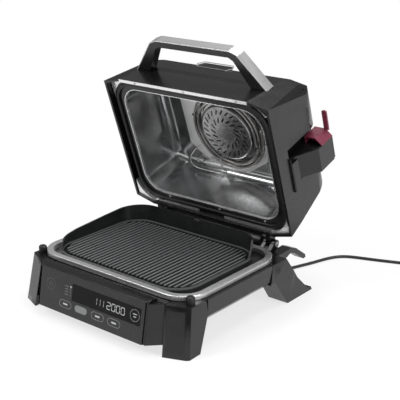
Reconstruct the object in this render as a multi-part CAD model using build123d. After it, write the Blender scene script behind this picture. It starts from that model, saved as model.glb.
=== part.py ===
from build123d import *
import math
import os

# Electric smoker grill with a hinged lid, in millimetres.
# While it is drawn, x = 0 is the middle of the grill, +Y is its back and z = 0 is the table.
# Lid pieces are drawn closed, on the rim plane, and are swung open about the hinge at the end.

# Lid
lid_open_angle = 71.2
rim_z = 100.0
lid_height = 157.0
lid_beyond_tub = 14.6
lid_front_y = -152.0
lid_back_y = 169.0
lid_wall = 5.0
lid_corner_in = 48.0
lid_corner_front = 11.0
lid_corner_back = 14.0
lid_front_lean = 0.146
lid_top_side_radius = 38.0
lid_skirt = 60.0
lid_bend_radius = 16.0
badge_x = -16.0
badge_height = 136.0

# Hinge
hinge_y = 193.0
hinge_z = 105.0
hinge_x = 150.0
hinge_pin_radius = 3.5
hinge_fit = 0.05
knuckle_radius = 9.0
knuckle_width = 11.0
ear_width = 8.0
ear_gap = 0.5
hinge_cover_radius = 18.0
cover_end_gap = 17.0

# Opening of the lid: frame, gasket and liner
frame_depth = 14.0
frame_thickness = 4.0
screw_head_radius = 2.4
gasket_drop = 5.6
gasket_width = 8.0
liner_lip = 19.0
liner_half_width = 181.0
liner_front_y = -122.0
liner_back_y = 138.0
liner_corner = 45.0
liner_depth = 103.0
liner_draft = 7.0
liner_wall = 1.2
liner_flange = 8.0

# Fan, heater and shield under the liner's ceiling
fan_y = 12.0
guard_radius = 67.0
guard_drop = 12.0
guard_wall = 1.2
coil_tube = 6.5
coil_outer_radius = 90.0
coil_pitch = 10.0
coil_half_turns = 4
lead_run = 24.0
lead_rise = 8.0
lead_bend = 7.2
shield_hole_radius = 94.5
shield_thickness = 1.2
impeller_radius = 52.0
impeller_blades = 12
shaft_radius = 3.0
motor_radius = 27.0

# Handle
handle_height = 72.0
handle_width = 24.0
handle_reach = 219.0
handle_bar = 15.0
strip_thickness = 2.6

# Smoke box on the right side of the lid
pocket_depth = 23.6
pocket_front_y = -31.0
pocket_back_y = 53.0
pocket_low = 35.0
box_front_y = 0.0
box_out_x = 240.0
box_top = 150.0
box_slope_low = 68.0
box_slope_high = 100.0
box_wall = 2.5
cover_thickness = 3.5
cover_pin_radius = 1.0
cover_knuckle_wall = 0.7
skirt_reach = 15.0
skirt_height = 40.0
tab_length = 43.0
tab_width = 11.0

# Base
tub_half_width = 199.0
tub_front_y = -140.0
tub_back_y = 162.0
tub_bottom = 42.0
tub_top = 96.5
tub_wall = 3.0
tub_corner = 40.0
ring_beyond_tub = 5.0
ring_front_y = -142.5
ring_back_y = 160.0
ring_corner = 57.0
ring_width = 14.0
ring_top = 107.5
ring_wall = 1.5
pot_wall = 1.5
pot_ledge = 26.0
pot_floor = 64.0
seat_z = 96.0
heater_z = 82.0
heater_tube = 7.0
heater_out_x = 135.0

# Grill plate
plate_half_width = 174.0
plate_front_y = -128.0
plate_back_y = 130.0
plate_corner = 55.0
plate_thickness = 6.0
plate_wall = 3.5
plate_wall_draft = 3.0
plate_wall_top = 144.0
rib_pitch = 10.2
rib_count = 33
rib_height = 6.0
rib_base = 5.0
rib_crest = 2.6
groove_width = 10.0

# Legs
leg_foot_front = -179.0
leg_top = 97.0
rail_low = 59.0
rail_beyond_tub = 14.0
foot_height = 3.0
foot_inside_tub = 3.0
bumper_inside_tub = 1.0
hook_inside_tub = 9.0
hook_width = 24.0

# Control panel
panel_half_width = 137.5
panel_low_y = -196.6
panel_low_z = 20.5
panel_high_y = -181.9
panel_high_z = 101.6
panel_thickness = 2.5
control_half_width = 142.5
control_wall = 3.0
display_left = -50.0
display_right = 130.0
display_low = 33.0
display_high = 67.0
display_thickness = 1.2

# Grease tray
tray_half_width = 119.5
tray_front_y = -100.0
tray_height = 14.0
tray_wall = 1.5
tray_gap = 0.6

# Cord
cord_diameter = 7.2
cord_exit_x = 150.0
cord_exit_z = 56.0
relief_length = 35.0
cord_floor = cord_diameter / 2 + 0.2
coil_mean_radius = 39.8
coil_turn_gap = 0.7
coil_layer_gap = 0.8
coil_tail = 42.0
coil_turns = 4.25
plug_length = 46.0
plug_half = 11.4

lid_half_width = tub_half_width + lid_beyond_tub
ring_half_width = tub_half_width + ring_beyond_tub
rail_out_x = tub_half_width + rail_beyond_tub
contact = 0.3
lid_hinge = Axis((0, hinge_y, hinge_z), (1, 0, 0))


def box(x0, x1, y0, y1, z0, z1):
    size = Box(x1 - x0, y1 - y0, z1 - z0)
    return Pos((x0 + x1) / 2, (y0 + y1) / 2, (z0 + z1) / 2) * size


def plan(points):
    return Polygon(*points, align=None)


def extrude_yz(points, x0, x1):
    # A side profile of (y, z) points, drawn across from x0 to x1.
    outline = Plane.YZ.offset(x0) * Polygon(*points, align=None)
    return extrude(outline, amount=x1 - x0, dir=(1, 0, 0))


def extrude_xz(points, y0, y1):
    # A front profile of (x, z) points, drawn back from y0 to y1.
    outline = Plane.XZ.offset(-y0) * Polygon(*points, align=None)
    return extrude(outline, amount=y1 - y0, dir=(0, 1, 0))


def extrude_up(points, z0, z1):
    # A plan outline of (x, y) points, drawn up from z0 to z1.
    return extrude(Pos(0, 0, z0) * Polygon(*points, align=None), amount=z1 - z0, dir=(0, 0, 1))


def rounded_block(half_x, y0, y1, corner, z0, z1, taper=0):
    outline = Pos(0, (y0 + y1) / 2, z0) * RectangleRounded(2 * half_x, y1 - y0, corner)
    return extrude(outline, amount=z1 - z0, taper=taper)


def prism(low, high, z0, z1):
    # A straight-sided block between two plan outlines with as many corners.
    faces = [Pos(0, 0, z0) * plan(low), Pos(0, 0, z1) * plan(high)]
    return loft(faces, ruled=True)


def mirrored(piece):
    return mirror(piece, about=Plane.YZ)


def both_sides(points):
    return points + [(-x, y) for x, y in reversed(points)]


def opened(piece):
    return piece.rotate(lid_hinge, -lid_open_angle)


# Lid


def lid_section(front, back, inset):
    # The lid cut front to back, in (y, z), between a front and a back at the rim.
    top = rim_z + lid_height
    section = [
        (front - lid_skirt * lid_front_lean, rim_z - lid_skirt),
        (back + 15, rim_z - lid_skirt),
        (back - 10, rim_z + 41),
        (back - 34, rim_z + 116),
        (back - 49, top - 18),
        (back - 83, top),
        (front + 54, top),
        (front + 31, top - 8),
        (front + 19, top - 32),
    ]
    outline = Polygon(*section, align=None)
    bends = [v for v in outline.vertices() if v.Y > rim_z + 50]
    outline = fillet(bends, lid_bend_radius)
    return offset(outline, amount=-inset, kind=Kind.INTERSECTION) if inset else outline


def lid_body(inset):
    # The outside of the lid, or the same form set in by a wall.
    top = rim_z + lid_height
    side = lid_half_width - inset
    flat = lid_half_width - lid_corner_in - inset * 0.1
    middle = lid_section(lid_front_y, lid_back_y, inset)
    end = lid_section(lid_front_y + lid_corner_front, lid_back_y - lid_corner_back, inset)
    stations = [(-side, end), (-flat, middle), (flat, middle), (side, end)]
    body = loft([Pos(x, 0, 0) * (Plane.YZ * section) for x, section in stations], ruled=True)
    across = Plane.XZ * Polygon(
        (-side, rim_z),
        (side, rim_z),
        (side, top - inset),
        (-side, top - inset),
        align=None,
    )
    crown = across.vertices().group_by(Axis.Z)[-1]
    across = fillet(crown, lid_top_side_radius - inset)
    return body & extrude(across, amount=300, both=True)


def corner_facet():
    # The facet on a front corner, which widens from the rim to the top.
    z = rim_z + 125
    lean = 125 * lid_front_lean
    corner = Vector(lid_half_width, lid_front_y + lid_corner_front, rim_z)
    on_front = Vector(lid_half_width - 16, lid_front_y + lid_corner_front + lean - 2, z)
    on_side = Vector(lid_half_width, lid_front_y + lid_corner_front + lean + 15, z)
    normal = (on_front - corner).cross(on_side - corner).normalized()
    if normal.X < 0:
        normal = -normal
    cut = Plane(origin=corner, z_dir=normal)
    return extrude(cut * Rectangle(500, 500), amount=60)


lid_outer = lid_body(0)
lid_inner = lid_body(lid_wall)
pocket_x = lid_half_width - pocket_depth
pocket_top = rim_z + lid_height + 1
pocket = box(pocket_x, lid_half_width + 5, pocket_front_y, pocket_back_y, rim_z + pocket_low, pocket_top)
pocket_shell = box(
    pocket_x - lid_wall,
    lid_half_width + 5,
    pocket_front_y - lid_wall,
    pocket_back_y + lid_wall,
    rim_z + pocket_low - lid_wall,
    pocket_top,
)


def make_lid_shell():
    facet = corner_facet()
    outer = lid_outer - facet - mirrored(facet)
    shell = outer - lid_inner + (outer & pocket_shell) - pocket
    # The bare recess where a badge would sit on the front.
    middle = (badge_x, lid_front_y + badge_height * lid_front_lean + 1, rim_z + badge_height)
    face = Plane(origin=middle, x_dir=(1, 0, 0), z_dir=(0, -1, lid_front_lean))
    badge = [(-47, 0), (-38, 14), (38, 14), (47, 0), (38, -14), (-38, -14)]
    return shell - extrude(face * Polygon(*badge, align=None), amount=2.0, both=True)


def make_lid_frame():
    low = rim_z + frame_depth
    slab = box(-260, 260, -200, 200, low, low + frame_thickness)
    plate = lid_body(lid_wall + contact) & slab
    hole = rounded_block(
        liner_half_width + 2, liner_front_y - 2, liner_back_y + 2, liner_corner + 2, low - 1, low + 10
    )
    return plate - hole


def make_gasket():
    low = rim_z + frame_depth - gasket_drop
    high = rim_z + frame_depth
    mid = ring_width / 2
    outer = rounded_block(
        ring_half_width - mid + gasket_width / 2,
        ring_front_y + mid - gasket_width / 2,
        ring_back_y - mid + gasket_width / 2,
        ring_corner - mid + gasket_width / 2,
        low,
        high,
    )
    inner = rounded_block(
        ring_half_width - mid - gasket_width / 2,
        ring_front_y + mid + gasket_width / 2,
        ring_back_y - mid - gasket_width / 2,
        ring_corner - mid - gasket_width / 2,
        low - 1,
        high + 1,
    )
    bead = outer - inner
    return fillet(bead.edges().group_by(Axis.Z)[0], 2.5)


def make_liner():
    low = rim_z + liner_lip
    outer = rounded_block(
        liner_half_width + liner_wall,
        liner_front_y - liner_wall,
        liner_back_y + liner_wall,
        liner_corner + liner_wall,
        low,
        low + liner_depth + liner_wall,
        taper=liner_draft,
    )
    inner = rounded_block(
        liner_half_width, liner_front_y, liner_back_y, liner_corner, low, low + liner_depth, taper=liner_draft
    )
    outer = fillet(outer.edges().group_by(Axis.Z)[-1], 20 + liner_wall)
    inner = fillet(inner.edges().group_by(Axis.Z)[-1], 20)
    flange = rounded_block(
        liner_half_width + liner_flange,
        liner_front_y - liner_flange,
        liner_back_y + liner_flange,
        liner_corner + liner_flange,
        low - 1,
        low,
    )
    lip = rounded_block(liner_half_width, liner_front_y, liner_back_y, liner_corner, low - 2, low + 1)
    tub = outer - inner + (flange - lip)
    shaft_hole = Pos(0, fan_y, low + liner_depth) * Cylinder(8, 10)
    return tub - shaft_hole


def make_front_strip():
    low = rim_z + frame_depth
    strip = box(-170, 168, -148.5, -139.5, low - 1.2, low)
    return strip & lid_body(lid_wall + contact)


def ceiling(depth_below=0.0):
    return rim_z + liner_lip + liner_depth - depth_below


def make_heat_shield():
    outline = [
        (-120, -58),
        (-120, 62),
        (-84, 98),
        (-64, 108),
        (30, 116),
        (89, 75),
        (102, 20),
        (102, -58),
    ]
    plate = extrude_up(outline, ceiling(5), ceiling(5) + shield_thickness)
    hole = Pos(0, fan_y, ceiling(5)) * Cylinder(shield_hole_radius, 10)
    plate -= hole
    posts = [
        Pos(x, y, ceiling(1.9)) * Cylinder(3, 3.8)
        for x, y in ((-108, 40), (-56, 102), (34, 106), (94, -48), (-108, -48))
    ]
    lead_y = fan_y - lead_run
    for x in (coil_outer_radius + coil_pitch / 4, -coil_outer_radius - coil_pitch / 4):
        plate -= Pos(x, lead_y, ceiling(5)) * Cylinder(coil_tube / 2 + 0.6, 10)
    for post in posts:
        plate += post
    return plate


def make_heating_coil():
    # Half turns whose centres swap sides, so the winding closes in by one pitch a turn.
    z = ceiling(10)
    shift = coil_pitch / 4
    lines = []
    radius = coil_outer_radius
    for step in range(coil_half_turns):
        way = 1 if step % 2 == 0 else -1
        center = (shift * way, fan_y)
        start = (center[0] + radius * way, center[1], z)
        middle = (center[0], center[1] + radius * way, z)
        end = (center[0] - radius * way, center[1], z)
        lines.append(ThreePointArc(start, middle, end))
        radius -= coil_pitch / 2
    first = lines[0] @ 0
    last = lines[-1] @ 1
    lead_in = FilletPolyline(
        (first.X, first.Y - lead_run, z + lead_rise),
        (first.X, first.Y - lead_run, z),
        first,
        radius=lead_bend,
    )
    lead_out = FilletPolyline(
        last,
        (last.X, last.Y + lead_run, z),
        (last.X, last.Y + lead_run, z + lead_rise),
        radius=lead_bend,
    )
    path = Wire([*lead_in.edges(), *[e for line in lines for e in line.edges()], *lead_out.edges()])
    section = Plane(origin=path @ 0, z_dir=path % 0) * Circle(coil_tube / 2)
    return sweep(section, path=path)


def ring_slots(count, inner, outer, width, turn):
    slots = []
    middle = (inner + outer) / 2
    for step in range(count):
        angle = 360 * step / count
        slot = Rot(0, 0, angle) * Pos(middle, 0) * Rot(0, 0, turn) * SlotOverall(outer - inner, width)
        slots.append(slot)
    return slots


def make_fan_guard():
    top = ceiling(5)
    low = top - guard_drop
    dome = Pos(0, fan_y, (top + low) / 2) * Cylinder(guard_radius, guard_drop)
    dome = fillet(dome.edges().group_by(Axis.Z)[0], 6)
    hollow = Pos(0, fan_y, (top + low) / 2 + guard_wall) * Cylinder(guard_radius - guard_wall, guard_drop)
    hollow = fillet(hollow.edges().group_by(Axis.Z)[0], 5)
    guard = dome - hollow
    flange = Pos(0, fan_y, top + 0.6) * (Cylinder(guard_radius + 5, 1.2) - Cylinder(guard_radius - 4, 1.2))
    guard += flange
    for slots in (
        ring_slots(24, 45, 59, 3.4, 35),
        ring_slots(16, 26, 40, 3.4, 35),
    ):
        for slot in slots:
            guard -= extrude(Pos(0, fan_y, low - 1) * slot, amount=4)
    return guard


def make_impeller():
    z = ceiling(13)
    disc = Pos(0, fan_y, z + 7.5) * Cylinder(impeller_radius, 1)
    hub = Pos(0, fan_y, z + 2.5) * Cylinder(9, 9)
    wheel = disc + hub
    for step in range(impeller_blades):
        blade = Pos(0, fan_y, z + 3.5) * Rot(0, 0, 360 * step / impeller_blades) * Pos(32, 0, 0)
        wheel += blade * Rot(0, 0, 25) * Box(34, 1.2, 7.2)
    shaft = Pos(0, fan_y, z + 16) * Cylinder(shaft_radius, 26)
    return wheel + shaft


def make_motor():
    low = ceiling(-liner_wall)
    can = Pos(0, fan_y, low + 13.5) * Cylinder(motor_radius, 23)
    can = chamfer(can.edges().group_by(Axis.Z)[-1], 2)
    foot = Pos(0, fan_y, low + 1) * Cylinder(motor_radius + 6, 2)
    bore = Pos(0, fan_y, low + 9) * Cylinder(shaft_radius + hinge_fit, 18)
    return can + foot - bore


def make_probe():
    z = ceiling(17)
    rod = Pos(-100, 98, z) * Rot(0, 90, 0) * Cylinder(3.2, 34)
    tip = Pos(-117, 98, z) * Sphere(3.2)
    return rod + tip


def make_probe_bracket():
    z = ceiling(17)
    arm = extrude_yz([(94, z - 6), (102, z - 6), (102, z + 16.9), (94, z + 16.9)], -96, -93.5)
    foot = box(-96, -70, 94, 102, z + 15.5, z + 16.9)
    bore = Pos(-95, 98, z) * Rot(0, 90, 0) * Cylinder(3.2 + contact, 8)
    return arm + foot - bore


# Handle


def handle_outline(reach, half, corner_x, foot_x, foot_y):
    return both_sides([(half, -reach), (corner_x, -reach + 7), (foot_x, foot_y)])


def make_handle():
    low = rim_z + handle_height - handle_width / 2
    foot_y = -140.0
    outer = handle_outline(handle_reach - strip_thickness, 94, 111, 169, foot_y)
    opening = handle_outline(handle_reach - handle_bar, 90, 101, 133, foot_y - 1)
    body = extrude_up(outer, low, low + handle_width)
    body -= extrude_up(opening, low - 1, low + handle_width + 1)
    body -= lid_body(0)
    return body


def make_handle_strip():
    low = rim_z + handle_height - handle_width / 2
    foot_y = -142.5
    outer = handle_outline(handle_reach, 95, 113, 163 + 7, foot_y)
    inner = handle_outline(handle_reach - strip_thickness, 94, 111, 169, foot_y + 2.5)
    strip = extrude_up(outer, low, low + handle_width)
    strip -= extrude_up(inner, low - 1, low + handle_width + 1)
    strip -= box(-200, 200, foot_y - 1.5, foot_y + 10, low - 1, low + handle_width + 1)
    return strip - lid_body(0)


# Hinge


def knuckle(center_x, width, radius):
    return Pos(center_x, hinge_y, hinge_z) * Rot(0, 90, 0) * Cylinder(radius, width)


def make_lid_arm(x):
    arm = extrude_yz(
        [
            (160, rim_z + 34),
            (hinge_y - 2, hinge_z + knuckle_radius - 0.2),
            (hinge_y + 2, hinge_z - knuckle_radius + 0.2),
            (hinge_y - 12, hinge_z - knuckle_radius + 1),
            (160, rim_z + 4),
        ],
        x - knuckle_width / 2,
        x + knuckle_width / 2,
    )
    arm = arm + knuckle(x, knuckle_width, knuckle_radius) - lid_body(0)
    return arm - knuckle(x, knuckle_width + 2, hinge_pin_radius + hinge_fit)


def make_bracket(x):
    pieces = []
    for side in (-1, 1):
        near = x + side * (knuckle_width / 2 + ear_gap)
        far = near + side * ear_width
        x0, x1 = sorted((near, far))
        ear = extrude_yz(
            [
                (tub_back_y, 70),
                (tub_back_y, 96),
                (hinge_y - 19, 97),
                (hinge_y - 5, hinge_z + knuckle_radius - 0.8),
                (hinge_y + 9.2, hinge_z),
                (hinge_y + 4, hinge_z - 14),
                (tub_back_y + 12, 70),
            ],
            x0,
            x1,
        )
        pieces.append(ear + knuckle((x0 + x1) / 2, ear_width, knuckle_radius + 1))
    half = knuckle_width / 2 + ear_gap + ear_width
    foot = box(x - half, x + half, tub_back_y, tub_back_y + 5, 70, 94)
    bracket = foot + pieces[0] + pieces[1]
    return bracket - knuckle(x, 2 * half + 2, hinge_pin_radius - 0.0)


def make_hinge_cover():
    # The round-backed cover over the hinge line, between the two brackets.
    half = hinge_x - cover_end_gap
    barrel = Pos(0, hinge_y, hinge_z) * Rot(0, 90, 0) * Cylinder(hinge_cover_radius, 2 * half)
    top = box(-half, half, tub_back_y + contact, hinge_y + hinge_cover_radius - 3, 80, tub_top - 1)
    return barrel + top


def make_hinge_pin(x):
    half = knuckle_width / 2 + ear_gap + ear_width
    head = knuckle(x + half + 1, 2, hinge_pin_radius + 2)
    return knuckle(x, 2 * half, hinge_pin_radius) + head


# Smoke box


def make_smoke_housing():
    outline = [
        (pocket_x, rim_z + pocket_low),
        (lid_half_width, rim_z + box_slope_low),
        (box_out_x, rim_z + box_slope_high),
        (box_out_x, rim_z + box_top),
        (pocket_x, rim_z + box_top),
    ]
    body = extrude_xz(outline, box_front_y, pocket_back_y)
    inner = [
        (pocket_x + box_wall, rim_z + box_slope_low - 14),
        (lid_half_width + 2, rim_z + box_slope_low + 6),
        (box_out_x - box_wall, rim_z + box_slope_high + 4),
        (box_out_x - box_wall, rim_z + box_top + 1),
        (pocket_x + box_wall, rim_z + box_top + 1),
    ]
    hollow = extrude_xz(inner, box_front_y + box_wall, pocket_back_y - box_wall)
    body -= hollow
    for x in cover_ears:
        top = rim_z + box_top + contact + cover_thickness
        body += box(x - 1.5, x + 1.5, cover_axis_y - 2.2, pocket_back_y, rim_z + box_top - 4, top)
    return body - cover_pin(box_out_x - pocket_x - 12)


def make_pellet_box():
    gap = 0.8
    floor = rim_z + box_slope_high + 4
    outer = box(
        pocket_x + box_wall + gap,
        box_out_x - box_wall - gap,
        box_front_y + box_wall + gap,
        pocket_back_y - box_wall - gap - 4,
        floor,
        rim_z + box_top - 1,
    )
    inner = box(
        pocket_x + box_wall + gap + 1.2,
        box_out_x - box_wall - gap - 1.2,
        box_front_y + box_wall + gap + 1.2,
        pocket_back_y - box_wall - gap - 5.2,
        floor + 1.2,
        rim_z + box_top,
    )
    tray = outer - inner
    holes = [
        Pos(pocket_x + box_wall + gap, box_front_y + 12 + 9 * j, floor + 12 + 9 * k) * Rot(0, 90, 0) * Cylinder(2, 6)
        for j in range(4)
        for k in range(3)
    ]
    for hole in holes:
        tray -= hole
    return tray


cover_axis_y = pocket_back_y - 5.0
cover_axis_z = rim_z + box_top + 2.0
cover_ears = (pocket_x + 10, box_out_x - 10)


def make_smoke_cover():
    low = rim_z + box_top + contact
    top = low + cover_thickness
    cover = box(pocket_x + 0.5, box_out_x, box_front_y, cover_axis_y, low, top)
    cover = chamfer(cover.edges().group_by(Axis.Z)[-1], 1.2)
    cover += cover_pin(box_out_x - pocket_x - 0.5, cover_knuckle_wall)
    for x in cover_ears:
        cover -= box(x - 2.1, x + 2.1, cover_axis_y - 3, cover_axis_y + 5, low - 1, top + 1)
    return cover - cover_pin(box_out_x - pocket_x - 12, hinge_fit)


def cover_pin(length, clearance=0.0):
    middle = Pos((pocket_x + box_out_x) / 2, cover_axis_y, cover_axis_z)
    return middle * Rot(0, 90, 0) * Cylinder(cover_pin_radius + clearance, length)


def make_smoke_lever():
    low = rim_z + box_top + contact
    top = low + cover_thickness
    skirt_low = top - skirt_height
    outside = [
        (box_out_x, box_front_y),
        (box_out_x, box_front_y - 0.4),
        (226, -skirt_reach),
        (200, -skirt_reach),
        (200, box_front_y),
    ]
    inside = [(237.5, 0.1), (224.6, 3 - skirt_reach), (202.5, 3 - skirt_reach), (202.5, 0.1)]
    skirt = extrude_up(outside, skirt_low, top)
    skirt -= extrude_up(inside, skirt_low - 1, top - 3)
    tab = box(224, 224 + tab_width, -skirt_reach - tab_length, -skirt_reach + 1, low, top)
    tab = fillet(tab.edges().filter_by(Axis.Z).group_by(Axis.Y)[0], 3)
    lever = skirt + tab
    lever -= box(190, 260, -100, 1, rim_z + 90, skirt_low)
    return lever & box(190, 260, -100, box_front_y, rim_z + 60, top + 1)


def make_side_slab():
    x = lid_half_width
    y0 = lid_back_y + 3 - 183
    y1 = lid_back_y + 3 - 105
    slab = box(x, x + 6, y0, y1, rim_z + 34, rim_z + 57)
    slab = chamfer(slab.edges().group_by(Axis.X)[-1], 2)
    return slab - pocket_shell_gap()


def pocket_shell_gap():
    # Where the pocket is open there is nothing for the slab to sit on.
    low = rim_z + pocket_low
    return box(lid_half_width - 1, lid_half_width + 7, pocket_front_y, box_front_y, low, low + 60)


# Base


def make_tub():
    outer = rounded_block(tub_half_width, tub_front_y, tub_back_y, tub_corner, tub_bottom, tub_top)
    outer = chamfer(outer.edges().group_by(Axis.Z)[0], 10)
    inner = rounded_block(
        tub_half_width - tub_wall,
        tub_front_y + tub_wall,
        tub_back_y - tub_wall,
        tub_corner - tub_wall,
        tub_bottom + 10,
        tub_top + 1,
    )
    floor_pocket = rounded_block(
        tub_half_width - tub_wall - 12,
        tub_front_y + tub_wall + 12,
        tub_back_y - tub_wall - 12,
        tub_corner - 12,
        tub_bottom + tub_wall,
        tub_top,
    )
    tub = outer - inner - floor_pocket
    slot = box(
        -tray_half_width - 0.5,
        tray_half_width + 0.5,
        0,
        tub_back_y + 1,
        tub_bottom + tub_wall,
        tub_bottom + tub_wall + tray_height + tray_gap,
    )
    cord_hole = Pos(cord_exit_x, tub_back_y, cord_exit_z) * Rot(90, 0, 0) * Cylinder(5.5, 30)
    return tub - slot - cord_hole


def ring_block(width, z0, z1, taper=0):
    return rounded_block(
        ring_half_width - width, ring_front_y + width, ring_back_y - width, ring_corner - width, z0, z1, taper
    )


def make_trim_ring():
    low = tub_top + pot_wall
    ring = ring_block(0, low, ring_top) - ring_block(ring_width, low - 1, ring_top + 1)
    ring = fillet(ring.edges().group_by(Axis.Z)[-1], 2)
    channel = ring_block(ring_wall, low - 1, ring_top - 3) - ring_block(ring_width - ring_wall, low - 2, ring_top)
    return ring - channel


def make_pot():
    edge = ring_width - 0.5
    flange = ring_block(6.0, tub_top, tub_top + pot_wall)
    outer = ring_block(edge - pot_wall, seat_z - pot_wall, tub_top + pot_wall)
    inner = ring_block(edge, seat_z, tub_top + 5)
    deep_out = ring_block(ring_width + pot_ledge, pot_floor, seat_z)
    deep_in = ring_block(ring_width + pot_ledge + pot_wall, pot_floor + pot_wall, tub_top + 5)
    pot = flange + outer + deep_out - inner - deep_in
    drain = Pos(104, -83, pot_floor) * Cylinder(7, 8)
    pot -= drain
    for x in (-25, 25):
        pot -= Pos(x, tub_back_y - 30, heater_z) * Rot(90, 0, 0) * Cylinder(heater_tube / 2 + 0.1, 60)
    return pot


def make_lower_heater():
    z = heater_z
    out = heater_out_x
    right = [(25, 146), (25, 95), (out, 95), (out, -80), (65, -80), (65, 55)]
    points = [(x, y, z) for x, y in both_sides(right)]
    path = FilletPolyline(*points, radius=18)
    section = Plane(origin=path @ 0, z_dir=path % 0) * Circle(heater_tube / 2)
    return sweep(section, path=path)


def make_heater_clips():
    clips = []
    for x in (-heater_out_x, heater_out_x):
        clip = box(x - 6, x + 6, -3, 3, pot_floor + pot_wall, heater_z + 1)
        tube = Pos(x, 0, heater_z) * Rot(90, 0, 0) * Cylinder(heater_tube / 2 + 0.05, 10)
        mouth = box(x - heater_tube / 2 - 0.05, x + heater_tube / 2 + 0.05, -5, 5, heater_z, heater_z + 5)
        clips.append(clip - tube - mouth)
    return clips


def make_grill_plate():
    z0 = seat_z
    z1 = seat_z + plate_thickness
    slab = rounded_block(plate_half_width, plate_front_y, plate_back_y, plate_corner, z0, z1, taper=-plate_wall_draft)
    wall = rounded_block(
        plate_half_width, plate_front_y, plate_back_y, plate_corner, z0, plate_wall_top, taper=-plate_wall_draft
    )
    hollow = rounded_block(
        plate_half_width - plate_wall,
        plate_front_y + plate_wall,
        plate_back_y - plate_wall,
        plate_corner - plate_wall,
        z1 - 0.01,
        plate_wall_top + 1,
        taper=-plate_wall_draft,
    )
    wall -= hollow
    skyline = [
        (-150, z0 - 1),
        (-150, 109.5),
        (-116, 109.5),
        (-92, 125),
        (-55, 131.5),
        (30, 137.5),
        (150, 144.5),
        (150, z0 - 1),
    ]
    profile = Plane.YZ * Polygon(*skyline, align=None)
    bends = [v for v in profile.vertices() if -120 < v.Y < 40]
    profile = fillet(bends, 22)
    wall &= extrude(profile, amount=300, both=True)
    right_end = [(-170, 109.5), (86, 109.5), (110, 152), (-170, 152)]
    wall -= extrude_yz(right_end, 60, 260)
    plate = slab + wall
    ribs = None
    for step in range(rib_count):
        x = (step - (rib_count - 1) / 2) * rib_pitch
        section = [
            (x - rib_base / 2, z1),
            (x + rib_base / 2, z1),
            (x + rib_crest / 2, z1 + rib_height),
            (x - rib_crest / 2, z1 + rib_height),
        ]
        rib = extrude_xz(section, plate_front_y, plate_back_y)
        ribs = rib if ribs is None else ribs + rib
    inset = plate_wall + groove_width
    field = rounded_block(
        plate_half_width - inset + 4,
        plate_front_y + inset,
        plate_back_y - inset,
        plate_corner - inset + 2,
        z1 - 1,
        z1 + rib_height + 1,
    )
    plate += ribs & field
    drain = extrude(Pos(150, -108, z0 - 1) * SlotOverall(14, 7), amount=plate_thickness + 2)
    notch = box(-9, 9, plate_back_y - 6, plate_back_y + 6, 138, plate_wall_top + 2)
    return plate - drain - notch


# Legs and rails


def make_front_leg():
    side = tub_half_width
    low = [(side - 27, leg_foot_front), (side + 16, -162), (side + 21, -157), (side + 20, -125), (side - 27, -125)]
    high = [(side - 34, -161), (side + 7, -145), (side + 11.7, -140), (side + 11.7, -82.5), (side - 34, -82.5)]
    leg = prism(low, high, 0, leg_top)
    return leg - tub_space() - foot_space(front_foot)


def tub_space():
    return rounded_block(tub_half_width, tub_front_y, tub_back_y, tub_corner, tub_bottom, tub_top + 5)


front_foot = (tub_half_width - foot_inside_tub, -150)
rear_foot = (tub_half_width - foot_inside_tub, 205)


def foot_space(spot):
    x, y = spot
    return box(x - 14, x + 14, y - 9, y + 9, -1, foot_height)


def make_feet():
    pads = []
    for x, y in (front_foot, rear_foot):
        for side in (-1, 1):
            pad = box(side * x - 14, side * x + 14, y - 9, y + 9, 0, foot_height)
            pads.append(pad)
    return pads


def make_rear_leg():
    profile = [
        (112, leg_top),
        (104, rail_low),
        (117, rail_low),
        (158, 0),
        (249, 0),
        (246, 7),
        (233, 9),
        (196, 45),
        (184, 64),
        (159.5, leg_top),
    ]
    side = tub_half_width
    leg = extrude_yz(profile, side - 27, side + 23)
    slope = extrude_xz([(side + 14, leg_top + 1), (side + 21.5, -1), (side + 41, -1), (side + 41, leg_top + 1)], 60, 280)
    return leg - slope - tub_space() - foot_space(rear_foot)


def make_side_rail():
    profile = [(tub_half_width, rail_low), (rail_out_x - 5, rail_low), (rail_out_x, rail_low + 5), (rail_out_x, leg_top)]
    profile += [(tub_half_width, leg_top)]
    rail = extrude_xz(profile, -95, 110)
    return rail - front_leg - rear_leg


def make_cord_hook():
    profile = [
        (tub_back_y, 78),
        (tub_back_y, 96),
        (212, 98.5),
        (230, 92),
        (266, 67),
        (268, 60),
        (260, 58.5),
        (224, 82),
        (210, 87),
        (186, 78),
    ]
    outside = tub_half_width - hook_inside_tub
    arm = extrude_yz(profile, outside - hook_width, outside)
    arm = arm - rear_leg - tub_space()
    return arm


front_leg = make_front_leg()
rear_leg = make_rear_leg()


def make_bumpers():
    caps = []
    for side in (-1, 1):
        cap = Pos(side * (tub_half_width - bumper_inside_tub), -127.5, 104.5) * Cylinder(8.5, 15)
        caps.append(fillet(cap.edges().group_by(Axis.Z)[-1], 5))
    return caps


# Control panel

panel_lean = math.atan2(panel_high_y - panel_low_y, panel_high_z - panel_low_z)
panel_height = math.hypot(panel_high_y - panel_low_y, panel_high_z - panel_low_z)
panel_plane = Plane(
    origin=(0, panel_low_y, panel_low_z),
    x_dir=(1, 0, 0),
    z_dir=(0, -math.cos(panel_lean), math.sin(panel_lean)),
)


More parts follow.
